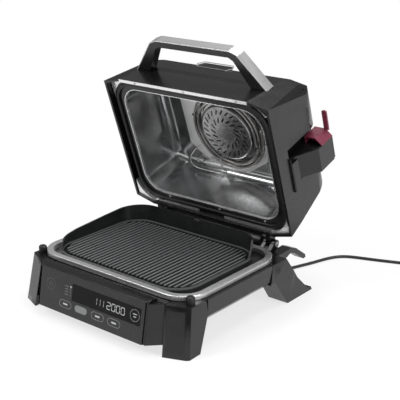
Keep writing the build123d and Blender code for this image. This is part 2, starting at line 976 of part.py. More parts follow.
def make_control_housing():
    step = panel_thickness / math.cos(panel_lean)
    profile = [
        (panel_low_y + step, panel_low_z),
        (panel_high_y + step, panel_high_z),
        (-171, 103.5),
        (-158, 103),
        (-153.6, 99),
        (-153.6, tub_top),
        (tub_front_y, tub_top),
        (tub_front_y, tub_bottom + 2),
        (tub_front_y - 8, panel_low_z),
    ]
    body = extrude_yz(profile, -control_half_width, control_half_width)
    inside = [
        (panel_low_y + step - 1, panel_low_z + 4),
        (panel_high_y + step - 2, panel_high_z - 4),
        (-160, 98),
        (-160, 93),
        (tub_front_y - control_wall, 93),
        (tub_front_y - control_wall, tub_bottom + 3),
        (tub_front_y - 11, panel_low_z + 4),
    ]
    room = panel_half_width - 4
    return body - extrude_yz(inside, -room, room)


def make_fascia():
    plate = extrude(panel_plane * Pos(0, panel_height / 2) * Rectangle(2 * panel_half_width, panel_height), amount=-panel_thickness)
    width = display_right - display_left
    height = display_high - display_low
    middle = Pos((display_left + display_right) / 2, (display_low + display_high) / 2)
    seat = extrude(panel_plane * middle * Rectangle(width, height), amount=-display_thickness)
    return plate - seat


def make_display():
    width = display_right - display_left
    height = display_high - display_low
    middle = Pos((display_left + display_right) / 2, (display_low + display_high) / 2)
    return extrude(panel_plane * middle * Rectangle(width, height), amount=-display_thickness)


def make_board():
    middle = panel_plane * Pos(0, panel_height / 2, -9)
    board = extrude(middle * Rectangle(210, 58), amount=1.6)
    posts = [
        extrude(panel_plane * Pos(x, panel_height / 2 + y, -7.4) * Circle(3), amount=7.4 - panel_thickness)
        for x in (-95, 95)
        for y in (-22, 22)
    ]
    for post in posts:
        board += post
    return board


def make_control_cap():
    low = [(143.5, -195), (169.5, -169), (169.5, -150), (143.5, -150)]
    high = [(143.5, -181), (164.2, -160.3), (164.2, -146), (143.5, -146)]
    cap = prism(low, high, panel_low_z, leg_top + 1)
    return cap - tub_space()


# Grease tray


def make_tray():
    low = tub_bottom + tub_wall
    pan = box(-tray_half_width, tray_half_width, tray_front_y, tub_back_y + contact, low, low + tray_height)
    pan -= box(
        -tray_half_width + tray_wall,
        tray_half_width - tray_wall,
        tray_front_y + tray_wall,
        tub_back_y - tray_wall,
        low + tray_wall,
        low + tray_height + 1,
    )
    front = box(-124, 124, tub_back_y + contact, tub_back_y + 4, tub_bottom + 1, low + tray_height + 4)
    lip = box(-40, 40, tub_back_y + 4, tub_back_y + 14, low + tray_height - 2, low + tray_height + 1)
    return pan + front + fillet(lip.edges().filter_by(Axis.Z).group_by(Axis.Y)[-1], 6)


# Cord


def make_relief():
    rear = tub_back_y
    cone = Solid.make_cone(7.5, 5.2, relief_length, plane=Plane(origin=(cord_exit_x, rear, cord_exit_z), z_dir=(0, 1, 0)))
    plug = Pos(cord_exit_x, rear - 5, cord_exit_z) * Rot(90, 0, 0) * Cylinder(5.4, 10)
    relief = Part() + cone + plug
    for step in range(4):
        y = rear + 9 + step * 6.5
        ring = Pos(cord_exit_x, y, cord_exit_z) * Rot(90, 0, 0) * (Cylinder(9, 1.8) - Cylinder(4.8, 1.8))
        relief -= ring
    return relief


cord_points = [
    (cord_exit_x, tub_back_y + relief_length, cord_exit_z),
    (cord_exit_x, 221, cord_exit_z),
    (146, 244, 46),
    (139, 264, 29),
    (132, 284, 13),
    (129.5, 306, cord_floor + 0.6),
    (136.5, 331, cord_floor),
    (147, 359, cord_floor),
    (156, 390, cord_floor),
    (166, 418, cord_floor),
    (181, 439, cord_floor),
    (203, 451, cord_floor),
    (232, 461, cord_floor),
    (265, 473, cord_floor),
    (312, 492, cord_floor),
    (362, 512, cord_floor),
]
cord_end_way = Vector(0.93, 0.367, 0).normalized()


def route_radii(points):
    radii = []
    for before, at, after in zip(points, points[1:], points[2:]):
        a = Vector(*at) - Vector(*before)
        b = Vector(*after) - Vector(*at)
        half = math.radians(a.get_angle(b)) / 2
        radii.append(0.45 * min(a.length, b.length) / math.tan(half))
    return radii


def make_cord():
    radii = route_radii(cord_points)
    print("cord radii", [round(r) for r in radii])
    path = FilletPolyline(*cord_points, radius=radii)
    section = Plane(origin=path @ 0, z_dir=path % 0) * Circle(cord_diameter / 2)
    tube = sweep(section, path=path)
    volume = math.pi * cord_diameter**2 / 4 * path.length
    print("cord tube length", round(path.length, 1), "volume ratio", round(tube.volume / volume, 4))
    return tube, path.length, path % 1


def biarc(start, start_way, end, end_way):
    # Two arcs that leave one point and reach the other along the given directions.
    chord = end - start
    both = start_way + end_way
    spread = 2 * (1 - start_way.dot(end_way))
    along = chord.dot(both)
    if spread < 1e-9:
        reach = chord.dot(chord) / (4 * chord.dot(end_way))
    else:
        reach = (-along + math.sqrt(along**2 + spread * chord.dot(chord))) / spread
    middle = (start + start_way * reach + end - end_way * reach) * 0.5
    middle_way = (end - end_way * reach - start - start_way * reach).normalized()
    first = TangentArc(start, middle, tangent=start_way)
    second = TangentArc(middle, end, tangent=middle_way)
    return [first, second]


def make_cord_coil(start_way):
    # Two layers of two turns: in along the table, up in a half turn, and out again on top.
    pitch = cord_diameter + coil_turn_gap
    layer = cord_diameter + coil_layer_gap
    outer = coil_mean_radius + pitch * 0.45
    start_angle = math.atan2(start_way.Y, start_way.X) + math.pi / 2
    start = Vector(*cord_points[-1]) + start_way * cord_diameter
    center = start - Vector(math.cos(start_angle), math.sin(start_angle), 0) * outer
    turns = coil_turns

    def at(turn):
        inward = min(turn, turns - turn)
        radius = outer - pitch * inward
        climb = min(max((turn - (turns / 2 - 0.25)) / 0.5, 0), 1)
        angle = start_angle - 2 * math.pi * turn
        height = cord_floor + layer * climb
        return Vector(center.X + radius * math.cos(angle), center.Y + radius * math.sin(angle), height)

    def way(turn):
        small = 1e-4
        return (at(turn + small) - at(turn - small)).normalized()

    lines = [Line(Vector(*cord_points[-1]), start)]
    steps = int(turns * 4)
    spots = []
    for step in range(steps + 1):
        spots.append(step / 4)
    ways = [start_way]
    for turn in spots[1:]:
        here = way(turn)
        flat = Vector(here.X, here.Y, 0).normalized()
        ways.append(flat)
    for a, b, wa, wb in zip(spots, spots[1:], ways, ways[1:]):
        first = start if a == 0 else at(a)
        lines += biarc(first, wa, at(b), wb)
    last = at(turns)
    lines.append(Line(last, last + ways[-1] * coil_tail))
    edges = [edge for line in lines for edge in line.edges()]
    path = Wire(edges)
    section = Plane(origin=path @ 0, z_dir=path % 0) * Circle(cord_diameter / 2)
    tube = sweep(section, path=path)
    volume = math.pi * cord_diameter**2 / 4 * path.length
    print("coil length", round(path.length, 1), "volume ratio", round(tube.volume / volume, 4))
    print("coil least gap to itself", round(coil_gap(path), 2))
    print("coil centre", center)
    return tube, path.length, path @ 1, path % 1


def coil_gap(path):
    count = 400
    points = [path @ (i / count) for i in range(count + 1)]
    step = path.length / count
    skip = int(60 / step)
    least = 1e9
    for i, a in enumerate(points):
        for b in points[i + skip:]:
            least = min(least, (a - b).length)
    return least - cord_diameter


def make_plug(start, way):
    plane = Plane(origin=start, z_dir=way, x_dir=Vector(0, 0, 1).cross(way))
    neck = loft([plane * Circle(cord_diameter / 2 + 1), plane.offset(14) * Circle(8)])
    body = extrude(plane.offset(14) * RectangleRounded(26, 2 * plug_half, 6), amount=plug_length - 14)
    pins = []
    for side in (-1, 1):
        pin = plane.offset(plug_length) * Pos(side * 6.35, 0) * Rectangle(1.5, 6.3)
        pins.append(extrude(pin, amount=17))
    ground = plane.offset(plug_length) * Pos(0, -8) * Circle(2.4)
    pins.append(extrude(ground, amount=19))
    return Part() + neck + body, pins


# Screws that hold the frame


def make_frame_screws():
    spots = [(-121, -142), (10, -142), (141, -142), (-120, 144.5), (20, 144.5), (140, 144.5)]
    low = rim_z + frame_depth
    screws = []
    for x, y in spots:
        drop = 1.2 if y < 0 else 0
        head = Pos(x, y, low - drop - 0.8) * Cylinder(screw_head_radius, 1.6)
        screws.append(head)
    return screws


lid_pieces = {
    "lid_shell": make_lid_shell(),
    "lid_frame": make_lid_frame(),
    "lid_gasket": make_gasket(),
    "lid_liner": make_liner(),
    "frame_front_strip": make_front_strip(),
    "frame_screws": make_frame_screws(),
    "heat_shield": make_heat_shield(),
    "heating_coil": make_heating_coil(),
    "fan_guard": make_fan_guard(),
    "fan_impeller": make_impeller(),
    "fan_motor": make_motor(),
    "temperature_probe": make_probe(),
    "probe_bracket": make_probe_bracket(),
    "handle_body": make_handle(),
    "handle_strip": make_handle_strip(),
    "lid_hinge_arms": [make_lid_arm(-hinge_x), make_lid_arm(hinge_x)],
    "smoke_box_housing": make_smoke_housing(),
    "pellet_box": make_pellet_box(),
    "smoke_cover": make_smoke_cover(),
    "smoke_cover_pin": cover_pin(box_out_x - pocket_x - 12),
    "smoke_lever": make_smoke_lever(),
    "side_slab": make_side_slab(),
}

cord_tube, cord_run, cord_way = make_cord()
coil_tube_solid, coil_run, coil_end, coil_way = make_cord_coil(cord_way)
plug_body, plug_pins = make_plug(coil_end, coil_way)
print("cord length", round(cord_run + coil_run, 1))

base_pieces = {
    "base_tub": make_tub(),
    "trim_ring": make_trim_ring(),
    "inner_pot": make_pot(),
    "lower_heater": make_lower_heater(),
    "heater_clips": make_heater_clips(),
    "grill_plate": make_grill_plate(),
    "front_leg_right": front_leg,
    "front_leg_left": mirrored(front_leg),
    "rear_leg_right": rear_leg,
    "rear_leg_left": mirrored(rear_leg),
    "side_rail_right": make_side_rail(),
    "side_rail_left": mirrored(make_side_rail()),
    "cord_hook_right": make_cord_hook(),
    "cord_hook_left": mirrored(make_cord_hook()),
    "rubber_feet": make_feet(),
    "lid_bumpers": make_bumpers(),
    "control_housing": make_control_housing(),
    "control_fascia": make_fascia(),
    "display_window": make_display(),
    "control_board": make_board(),
    "control_cap_right": make_control_cap(),
    "control_cap_left": mirrored(make_control_cap()),
    "grease_tray": make_tray(),
    "hinge_bracket_right": make_bracket(hinge_x),
    "hinge_bracket_left": make_bracket(-hinge_x),
    "hinge_cover": make_hinge_cover(),
    "hinge_pins": [make_hinge_pin(-hinge_x), make_hinge_pin(hinge_x)],
    "strain_relief": make_relief(),
}
cord_pieces = {
    "power_cord": cord_tube,
    "cord_coil": coil_tube_solid,
    "plug_body": plug_body,
    "plug_pins": plug_pins,
}


def solids_of(piece):
    solids = []
    for item in piece if isinstance(piece, list) else [piece]:
        solids += item.solids()
    return solids


parts = {name: [opened(solid) for solid in solids_of(piece)] for name, piece in lid_pieces.items()}
parts |= {name: solids_of(piece) for name, piece in base_pieces.items()}
boxes = [solid.bounding_box() for solids in parts.values() for solid in solids]
low = [min(getattr(b.min, a) for b in boxes) for a in "XYZ"]
high = [max(getattr(b.max, a) for b in boxes) for a in "XYZ"]
shift = Pos(-(low[0] + high[0]) / 2, -(low[1] + high[1]) / 2, 0)
parts |= {name: solids_of(piece) for name, piece in cord_pieces.items()}

print("box without the cord", [round(v, 2) for v in low], [round(v, 2) for v in high])
offset_x, offset_y = shift.position.X, shift.position.Y
print("shift to the box's middle", round(offset_x, 3), round(offset_y, 3))


def spot(x, y, z, on_lid=False):
    point = Vertex(x, y, z)
    if on_lid:
        point = opened(point)
    point = point.center()
    return [round((point.X + offset_x) / 1000, 6), round((point.Y + offset_y) / 1000, 6), round(point.Z / 1000, 6)]


print("lid hinge", spot(0, hinge_y, hinge_z))
print("smoke cover hinge", spot(216, cover_axis_y, cover_axis_z, True))
print("fan axis", spot(0, fan_y, ceiling(10), True))
print("cord exit", spot(*cord_points[0]))

os.makedirs("parts", exist_ok=True)
for name, solids in parts.items():
    placed = [shift * solid for solid in solids]
    export_step(placed[0] if len(placed) == 1 else Compound(children=placed), f"parts/{name}.step")
print(len(parts), "nodes written")
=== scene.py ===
import math

import bmesh
import bpy
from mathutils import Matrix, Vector


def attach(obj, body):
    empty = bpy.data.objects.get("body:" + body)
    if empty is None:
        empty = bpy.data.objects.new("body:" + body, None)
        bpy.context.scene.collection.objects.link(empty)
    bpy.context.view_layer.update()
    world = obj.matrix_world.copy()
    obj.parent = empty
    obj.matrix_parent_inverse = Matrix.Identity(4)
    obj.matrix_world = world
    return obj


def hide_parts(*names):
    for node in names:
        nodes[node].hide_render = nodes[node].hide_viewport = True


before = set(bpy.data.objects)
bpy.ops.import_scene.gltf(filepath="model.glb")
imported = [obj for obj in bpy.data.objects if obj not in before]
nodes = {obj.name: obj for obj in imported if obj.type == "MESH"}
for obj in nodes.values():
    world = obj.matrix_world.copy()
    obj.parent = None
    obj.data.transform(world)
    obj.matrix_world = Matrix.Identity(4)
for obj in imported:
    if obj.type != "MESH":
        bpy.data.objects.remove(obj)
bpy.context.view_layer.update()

# Places on the grill, in the drawing's millimetres

# The drawing's middle lies this far from the row frame's origin, in metres.
shift_x, shift_y = -0.009788, -0.052691
hinge_y, hinge_z = 193.0, 105.0
lid_open_angle = math.radians(71.2)
rim_z = 100.0
panel_low_y, panel_low_z = -196.6, 20.5
panel_lean = math.radians(10.27)


def spot(x, y, z):
    """A point of the drawing, in millimetres, as a point of the row frame, in metres."""
    return Vector((x / 1000 + shift_x, y / 1000 + shift_y, z / 1000))


def lid_spot(x, y, z):
    """A point of the closed lid, in the drawing's millimetres, where it lies with the lid up."""
    ahead, above = y - hinge_y, z - hinge_z
    cosine, sine = math.cos(lid_open_angle), math.sin(lid_open_angle)
    return spot(x, hinge_y + ahead * cosine + above * sine, hinge_z - ahead * sine + above * cosine)


def panel_spot(x, up, out):
    """A point on the control panel's face: along it, up it and out of it, in millimetres."""
    cosine, sine = math.cos(panel_lean), math.sin(panel_lean)
    return spot(x, panel_low_y + up * sine - out * cosine, panel_low_z + up * cosine + out * sine)


# Objects


def add(name, data):
    """A new object in the scene, made of the given data."""
    made = bpy.data.objects.new(name, data)
    bpy.context.scene.collection.objects.link(made)
    return made


def aim(thing, target):
    """Turns a camera or a lamp to look at a point."""
    thing.rotation_mode = "QUATERNION"
    thing.rotation_quaternion = (Vector(target) - thing.location).to_track_quat("-Z", "Y")


def tube(name, points, radius, roundness, steps):
    """A round tube along a smooth line; its bevel is 1 m, and the points' radius brings it to size."""
    curve = bpy.data.curves.new(name, "CURVE")
    curve.dimensions = "3D"
    curve.bevel_depth = 1.0
    curve.bevel_resolution = roundness
    curve.use_fill_caps = True
    spline = curve.splines.new("NURBS")
    spline.points.add(len(points) - 1)
    for control, point in zip(spline.points, points):
        control.co = (*point, 1)
        control.radius = radius
    spline.order_u = 3
    spline.use_endpoint_u = True
    spline.resolution_u = steps
    return add(name, curve)


def round_edges(piece, width, segments, angle):
    """Rounds the edges that are sharper than an angle, in degrees."""
    bevel = piece.modifiers.new("edge", "BEVEL")
    bevel.width = width
    bevel.segments = segments
    bevel.limit_method = "ANGLE"
    bevel.angle_limit = math.radians(angle)
    bevel.harden_normals = True


def sides(*names):
    """The names of pieces that come as a right one and a left one."""
    return tuple(f"{name}_{side}" for name in names for side in ("right", "left"))


# Camera

camera_place = (1196.3, -1326.2, 834.9)
camera_target = (113.7, 3.1, 242.9)
camera_sensor = 36.0
camera_lens = 84.96
camera_reach = 30.0


def make_camera():
    data = bpy.data.cameras.new("camera")
    data.sensor_width = camera_sensor
    data.lens = camera_lens
    data.clip_end = camera_reach
    camera = add("camera", data)
    camera.location = spot(*camera_place)
    aim(camera, spot(*camera_target))
    bpy.context.scene.camera = camera


make_camera()


# Cord

cord_diameter = 0.0072
cord_floor = 3.8
cord_route = [
    (150, 197, 56),
    (150, 221, 56),
    (146, 244, 46),
    (139, 264, 29),
    (132, 284, 13),
    (129.5, 306, 4.4),
    (136.5, 331, cord_floor),
    (147, 359, cord_floor),
    (156, 390, cord_floor),
    (166, 418, cord_floor),
    (181, 439, cord_floor),
    (203, 451, cord_floor),
    (232, 461, cord_floor),
    (265, 473, cord_floor),
    (312, 492, cord_floor),
    (362, 512, cord_floor),
]
coil_way = (0.93, 0.367, 0)
coil_turns = 4.25
coil_mean_radius = 39.8
coil_pitch = 7.9
outer_share = 0.45
coil_layer = 8.0
climb_turns = 0.5
coil_tail = 42.0
tail_shares = (0.3, 0.65, 1.0)
points_per_turn = 16
small_turn = 0.001


def coil_points():
    """The coil's control points: two turns in along the table, a climb, and two turns out again on top."""
    way = Vector(coil_way).normalized()
    outer = coil_mean_radius + coil_pitch * outer_share
    start_angle = math.atan2(way.y, way.x) + math.pi / 2
    start = Vector(cord_route[-1]) + way * cord_diameter * 1000
    center = start - Vector((math.cos(start_angle), math.sin(start_angle), 0)) * outer
    climb_start = (coil_turns - climb_turns) / 2

    def at(turn):
        radius = outer - coil_pitch * min(turn, coil_turns - turn)
        climb = min(max((turn - climb_start) / climb_turns, 0), 1)
        angle = start_angle - 2 * math.pi * turn
        reach = radius / math.cos(math.pi / points_per_turn) ** 0.5
        height = cord_floor + coil_layer * climb
        return Vector((center.x + reach * math.cos(angle), center.y + reach * math.sin(angle), height))

    steps = int(coil_turns * points_per_turn)
    wound = [at(step / points_per_turn) for step in range(steps + 1)]
    end_way = (at(coil_turns) - at(coil_turns - small_turn)).normalized()
    end_way.z = 0
    return wound + [wound[-1] + end_way * coil_tail * share for share in tail_shares]


def make_cord():
    points = [spot(*point) for point in cord_route + coil_points()]
    cord = tube("cord", points, cord_diameter / 2, roundness=5, steps=6)
    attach(cord, "base")
    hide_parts("power_cord", "cord_coil")
    return cord


cord = make_cord()


# Materials

wear_per_cloud = 3.7
cloud_detail, wear_detail, grain_detail = 5.0, 6.0, 3.0
grain_strength = 0.35
ramp_start, ramp_end = 0.3, 0.7


def node_material(name):
    material = bpy.data.materials.new(name)
    material.use_nodes = True
    tree = material.node_tree
    return material, tree, tree.nodes["Principled BSDF"]


def link(tree, a, b):
    tree.links.new(a, b)


def set_stop(stop, position, color):
    """Places a colour stop; a single number is a grey."""
    stop.position = position
    stop.color = (*color, 1) if isinstance(color, tuple) else (color, color, color, 1)


def noise(tree, scale, detail, stretch=None):
    """A noise pattern in the row frame; stretch squeezes it along X, Y and Z."""
    place = tree.nodes.new("ShaderNodeTexCoord")
    pattern = tree.nodes.new("ShaderNodeTexNoise")
    pattern.inputs["Scale"].default_value = scale
    pattern.inputs["Detail"].default_value = detail
    source = place.outputs["Object"]
    if stretch:
        mapping = tree.nodes.new("ShaderNodeMapping")
        mapping.inputs["Scale"].default_value = stretch
        link(tree, source, mapping.inputs["Vector"])
        source = mapping.outputs["Vector"]
    link(tree, source, pattern.inputs["Vector"])
    return pattern.outputs["Fac"]


def ramp(tree, value, low, high):
    """Turns a pattern's middle range into one between two colours or greys."""
    ramped = tree.nodes.new("ShaderNodeValToRGB")
    set_stop(ramped.color_ramp.elements[0], ramp_start, low)
    set_stop(ramped.color_ramp.elements[1], ramp_end, high)
    link(tree, value, ramped.inputs["Fac"])
    return ramped.outputs["Color"]


def bump(tree, shader, value, strength, distance):
    node = tree.nodes.new("ShaderNodeBump")
    node.inputs["Strength"].default_value = strength
    node.inputs["Distance"].default_value = distance
    link(tree, value, node.inputs["Height"])
    link(tree, node.outputs["Normal"], shader.inputs["Normal"])


def surface(
    name, color, rough, metallic=0.0, tint=0.15, cloud=9.0, rough_spread=0.06, grain=2200.0,
    grain_depth=0.00002, stretch=None, specular=0.5, coat=0.0, coat_rough=0.2,
):
    """A moulded, painted or rolled surface: slow colour clouds, uneven gloss and a fine grain."""
    material, tree, shader = node_material(name)
    low = tuple(c * (1 - tint) for c in color)
    high = tuple(min(1.0, c * (1 + tint)) for c in color)
    clouds = noise(tree, cloud, cloud_detail)
    link(tree, ramp(tree, clouds, low, high), shader.inputs["Base Color"])
    wear = noise(tree, cloud * wear_per_cloud, wear_detail, stretch)
    link(tree, ramp(tree, wear, rough - rough_spread, rough + rough_spread), shader.inputs["Roughness"])
    shader.inputs["Metallic"].default_value = metallic
    shader.inputs["Specular IOR Level"].default_value = specular
    shader.inputs["Coat Weight"].default_value = coat
    shader.inputs["Coat Roughness"].default_value = coat_rough
    if grain_depth:
        bump(tree, shader, noise(tree, grain, grain_detail, stretch), grain_strength, grain_depth)
    return material


# The heights between which the plate's ribs stand, in metres
rib_foot, rib_top = 0.1020, 0.1140
plate_color = (0.012, 0.013, 0.013)
# Painted highlight: the colour and height stops that make the rib crests lighter, standing in for light on
# them.
crest_highlight_color = (0.17, 0.175, 0.175, 1)
crest_highlight_stops = ((0.25, 0.0), (0.5, 1.0), (0.56, 1.0), (0.66, 0.0))


def ribbed_coat(name):
    """The plate's coating, with a painted highlight laid lighter on the crests of the ribs."""
    material = surface(name, plate_color, 0.32, tint=0.2, cloud=30, grain=700, grain_depth=0.000006)
    tree = material.node_tree
    shader = tree.nodes["Principled BSDF"]
    cloud_color = shader.inputs["Base Color"].links[0].from_socket
    place = tree.nodes.new("ShaderNodeTexCoord")
    split = tree.nodes.new("ShaderNodeSeparateXYZ")
    link(tree, place.outputs["Object"], split.inputs[0])
    level = tree.nodes.new("ShaderNodeMapRange")
    level.inputs["From Min"].default_value = rib_foot
    level.inputs["From Max"].default_value = rib_top
    link(tree, split.outputs["Z"], level.inputs["Value"])
    band = tree.nodes.new("ShaderNodeValToRGB")
    stops = band.color_ramp.elements
    for k, (position, value) in enumerate(crest_highlight_stops):
        stop = stops[k] if k < 2 else stops.new(position)
        set_stop(stop, position, value)
    link(tree, level.outputs["Result"], band.inputs["Fac"])
    mix = tree.nodes.new("ShaderNodeMixRGB")
    mix.inputs["Color2"].default_value = crest_highlight_color
    link(tree, band.outputs["Color"], mix.inputs["Fac"])
    link(tree, cloud_color, mix.inputs["Color1"])
    link(tree, mix.outputs["Color"], shader.inputs["Base Color"])
    return material


def glow(name, color, strength):
    """A print or a lit mark on the panel, a little uneven."""
    material = surface(name, color, 0.45, tint=0.08, cloud=60, grain_depth=0)
    shader = material.node_tree.nodes["Principled BSDF"]
    shader.inputs["Emission Color"].default_value = (*color, 1)
    shader.inputs["Emission Strength"].default_value = strength
    return material


moulded = {"grain": 900, "grain_depth": 0.000008}
shell_paint = surface("shell_paint", (0.008, 0.0082, 0.0085), 0.25, tint=0.1, **moulded)
rim_paint = surface("rim_paint", (0.007, 0.007, 0.0075), 0.30)
# Painted shade: a matt black used only for sheets put in the gap beside the smoke box.
painted_shade_black = surface("painted_shade_black", (0.0025, 0.0025, 0.0025), 0.7, specular=0.1)
gasket_rubber = surface("gasket_rubber", (0.005, 0.005, 0.005), 0.50)
liner_steel = surface(
    "liner_steel", (0.52, 0.525, 0.53), 0.19, metallic=0.94, tint=0.42, cloud=7.0, rough_spread=0.08,
    grain=30, grain_depth=0.0012,
)
sheet_steel = surface("sheet_steel", (0.80, 0.80, 0.80), 0.30, metallic=0.72, tint=0.05)
shield_steel = surface("shield_steel", (0.86, 0.86, 0.86), 0.36, metallic=0.45, tint=0.05)
guard_steel = surface("guard_steel", (0.30, 0.30, 0.30), 0.24, metallic=0.95, tint=0.25, cloud=40)
trim_steel = surface("trim_steel", (0.85, 0.85, 0.85), 0.22, metallic=0.72, tint=0.04)
satin_steel = surface(
    "satin_steel", (0.62, 0.62, 0.62), 0.30, metallic=0.75, tint=0.05, stretch=(0.02, 1, 1), grain=1800,
)
element_tube = surface("element_tube", (0.32, 0.31, 0.30), 0.3, metallic=1.0, tint=0.2)
base_plastic = surface("base_plastic", (0.006, 0.006, 0.0063), 0.24, **moulded)
handle_black = surface("handle_black", (0.004, 0.004, 0.004), 0.26, **moulded)
fascia_plastic = surface("fascia_plastic", (0.011, 0.011, 0.0115), 0.30, grain=900, grain_depth=0.000006)
display_gloss = surface(
    "display_gloss", (0.006, 0.006, 0.007), 0.14, rough_spread=0.03, grain_depth=0, specular=0.12,
)
plate_coat = ribbed_coat("plate_coat")
tray_coat = surface("tray_coat", (0.022, 0.0235, 0.024), 0.32, tint=0.2, cloud=30, grain=700)
pot_metal = surface("pot_metal", (0.4, 0.4, 0.4), 0.35, metallic=1.0)
lever_plastic = surface("lever_plastic", (0.22, 0.036, 0.068), 0.30, tint=0.08, coat=0.4, coat_rough=0.3)
cord_rubber = surface("cord_rubber", (0.016, 0.016, 0.016), 0.5)
foot_rubber = surface("foot_rubber", (0.012, 0.012, 0.012), 0.7)
pin_brass = surface("pin_brass", (0.70, 0.58, 0.33), 0.3, metallic=1.0)
board_green = surface("board_green", (0.03, 0.14, 0.06), 0.5)
print_grey = glow("print_grey", (0.17, 0.175, 0.175), 0.0)
key_grey = glow("key_grey", (0.22, 0.225, 0.225), 0.0)
print_dim = glow("print_dim", (0.085, 0.087, 0.088), 0.0)
lit_white = glow("lit_white", (0.50, 0.51, 0.51), 0.15)
lit_digit = glow("lit_digit", (0.33, 0.33, 0.325), 0.05)

worn = (
    (shell_paint, ("lid_shell", "smoke_box_housing", "smoke_cover")),
    (rim_paint, ("lid_frame", "lid_hinge_arms", "hinge_cover", *sides("hinge_bracket"))),
    (gasket_rubber, ("lid_gasket", "lid_bumpers")),
    (liner_steel, ("lid_liner",)),
    (guard_steel, ("fan_guard", "fan_impeller")),
    (shield_steel, ("heat_shield",)),
    (sheet_steel, ("fan_motor", "probe_bracket", "pellet_box", "heater_clips")),
    (trim_steel, ("frame_front_strip", "frame_screws", "temperature_probe")),
    (trim_steel, ("smoke_cover_pin", "hinge_pins")),
    (satin_steel, ("handle_strip", "trim_ring")),
    (element_tube, ("heating_coil", "lower_heater")),
    (base_plastic, ("side_slab", "base_tub", "control_housing")),
    (base_plastic, sides("front_leg", "rear_leg", "side_rail", "cord_hook", "control_cap")),
    (handle_black, ("handle_body",)),
    (fascia_plastic, ("control_fascia",)),
    (display_gloss, ("display_window",)),
    (plate_coat, ("grill_plate",)),
    (tray_coat, ("grease_tray",)),
    (pot_metal, ("inner_pot",)),
    (lever_plastic, ("smoke_lever",)),
    (cord_rubber, ("strain_relief", "plug_body", "power_cord", "cord_coil")),
    (foot_rubber, ("rubber_feet",)),
    (pin_brass, ("plug_pins",)),
    (board_green, ("control_board",)),
)


def wear_materials():
    for material, names in worn:
        for name in names:
            slots = nodes[name].data.materials
            slots.clear()
            slots.append(material)
    cord.data.materials.append(cord_rubber)


wear_materials()


# Small pieces


def mesh_piece(name, points, faces, material, body):
    """A closed piece of its own on a body, with its faces turned outwards."""
    mesh = bpy.data.meshes.new(name)
    mesh.from_pydata(points, [], faces)
    mesh.materials.append(material)
    made = bmesh.new()
    made.from_mesh(mesh)
    bmesh.ops.recalc_face_normals(made, faces=made.faces)
    made.to_mesh(mesh)
    made.free()
    piece = add(name, mesh)
    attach(piece, body)
    return piece


def plates(name, outlines, place, low, high, material, body, slot):
    """Flat plates of the given outlines, from one level to another of the place they are put on."""
    points, faces = [], []
    for outline in outlines:
        first, count = len(points), len(outline)
        points += [place(x, y, low) for x, y in outline] + [place(x, y, high) for x, y in outline]
        faces.append(tuple(first + k for k in range(count)))
        faces.append(tuple(first + count + k for k in range(count)))
        for k in range(count):
            after = (k + 1) % count
            faces.append((first + k, first + after, first + count + after, first + count + k))
    return mesh_piece(name, points, faces, material, body)


def bands(name, pairs, place, low, high, material, body, slot):
    """Closed bands between outer and inner outlines that have as many points."""
    points, faces = [], []
    for outer, inner in pairs:
        first, count = len(points), len(outer)
        for level in (low, high):
            points += [place(x, y, level) for x, y in outer] + [place(x, y, level) for x, y in inner]
        for k in range(count):
            after = (k + 1) % count
            a, b = first + k, first + after
            faces.append((a, b, b + count, a + count))
            faces.append((a + 2 * count, b + 2 * count, b + 3 * count, a + 3 * count))
            faces.append((a, b, b + 2 * count, a + 2 * count))
            faces.append((a + count, b + count, b + 3 * count, a + 3 * count))
    return mesh_piece(name, points, faces, material, body)


def on_panel(make, name, outlines, material):
    """Prints plates or bands on the control panel's face."""
    make(name, outlines, panel_spot, print_low, print_high, material, "base", "grey_enamel")


def on_lid(make, name, outlines, levels, material, slot):
    """Puts plates or bands on the lid, between two heights of the closed lid."""
    make(name, outlines, lid_spot, *levels, material, "lid", slot)


# Outlines


def arc(x, y, radius, start, end, steps=12):
    """Points along an arc, with angles in degrees."""
    angles = [math.radians(start + (end - start) * k / steps) for k in range(steps + 1)]
    return [(x + radius * math.cos(a), y + radius * math.sin(a)) for a in angles]


def pill(x, y, width, height, inset=0.0):
    """A bar with round ends, or the same moved in by an inset."""
    radius = height / 2 - inset
    half = width / 2 - height / 2
    return arc(x + half, y, radius, -90, 90) + arc(x - half, y, radius, 90, 270)


def rectangle(left, front, right, back):
    return [(left, front), (right, front), (right, back), (left, back)]


def slab(x, y, width, height, slant=0.0):
    """A bar about its middle; its far edge is moved over from its near one by twice the slant."""
    half, tall = width / 2, height / 2
    near = [(x - half - slant, y - tall), (x + half - slant, y - tall)]
    return near + [(x + half + slant, y + tall), (x - half + slant, y + tall)]


def open_ring(x, y, radius, stroke, start=0, end=345, steps=23):
    """The outer and inner outline of a ring, or of a part of one."""
    return arc(x, y, radius, start, end, steps), arc(x, y, radius - stroke, start, end, steps)


def rounded_outline(half, front, back, corner):
    """A rectangle with round corners."""
    outline = []
    for x, y, start in ((half, back, 0), (-half, back, 90), (-half, front, 180), (half, front, 270)):
        center_x = x - math.copysign(corner, x)
        center_y = y - corner if y == back else y + corner
        outline += arc(center_x, center_y, corner, start, start + 90)
    return outline


# Control panel: prints and lit marks, in millimetres along and up its face

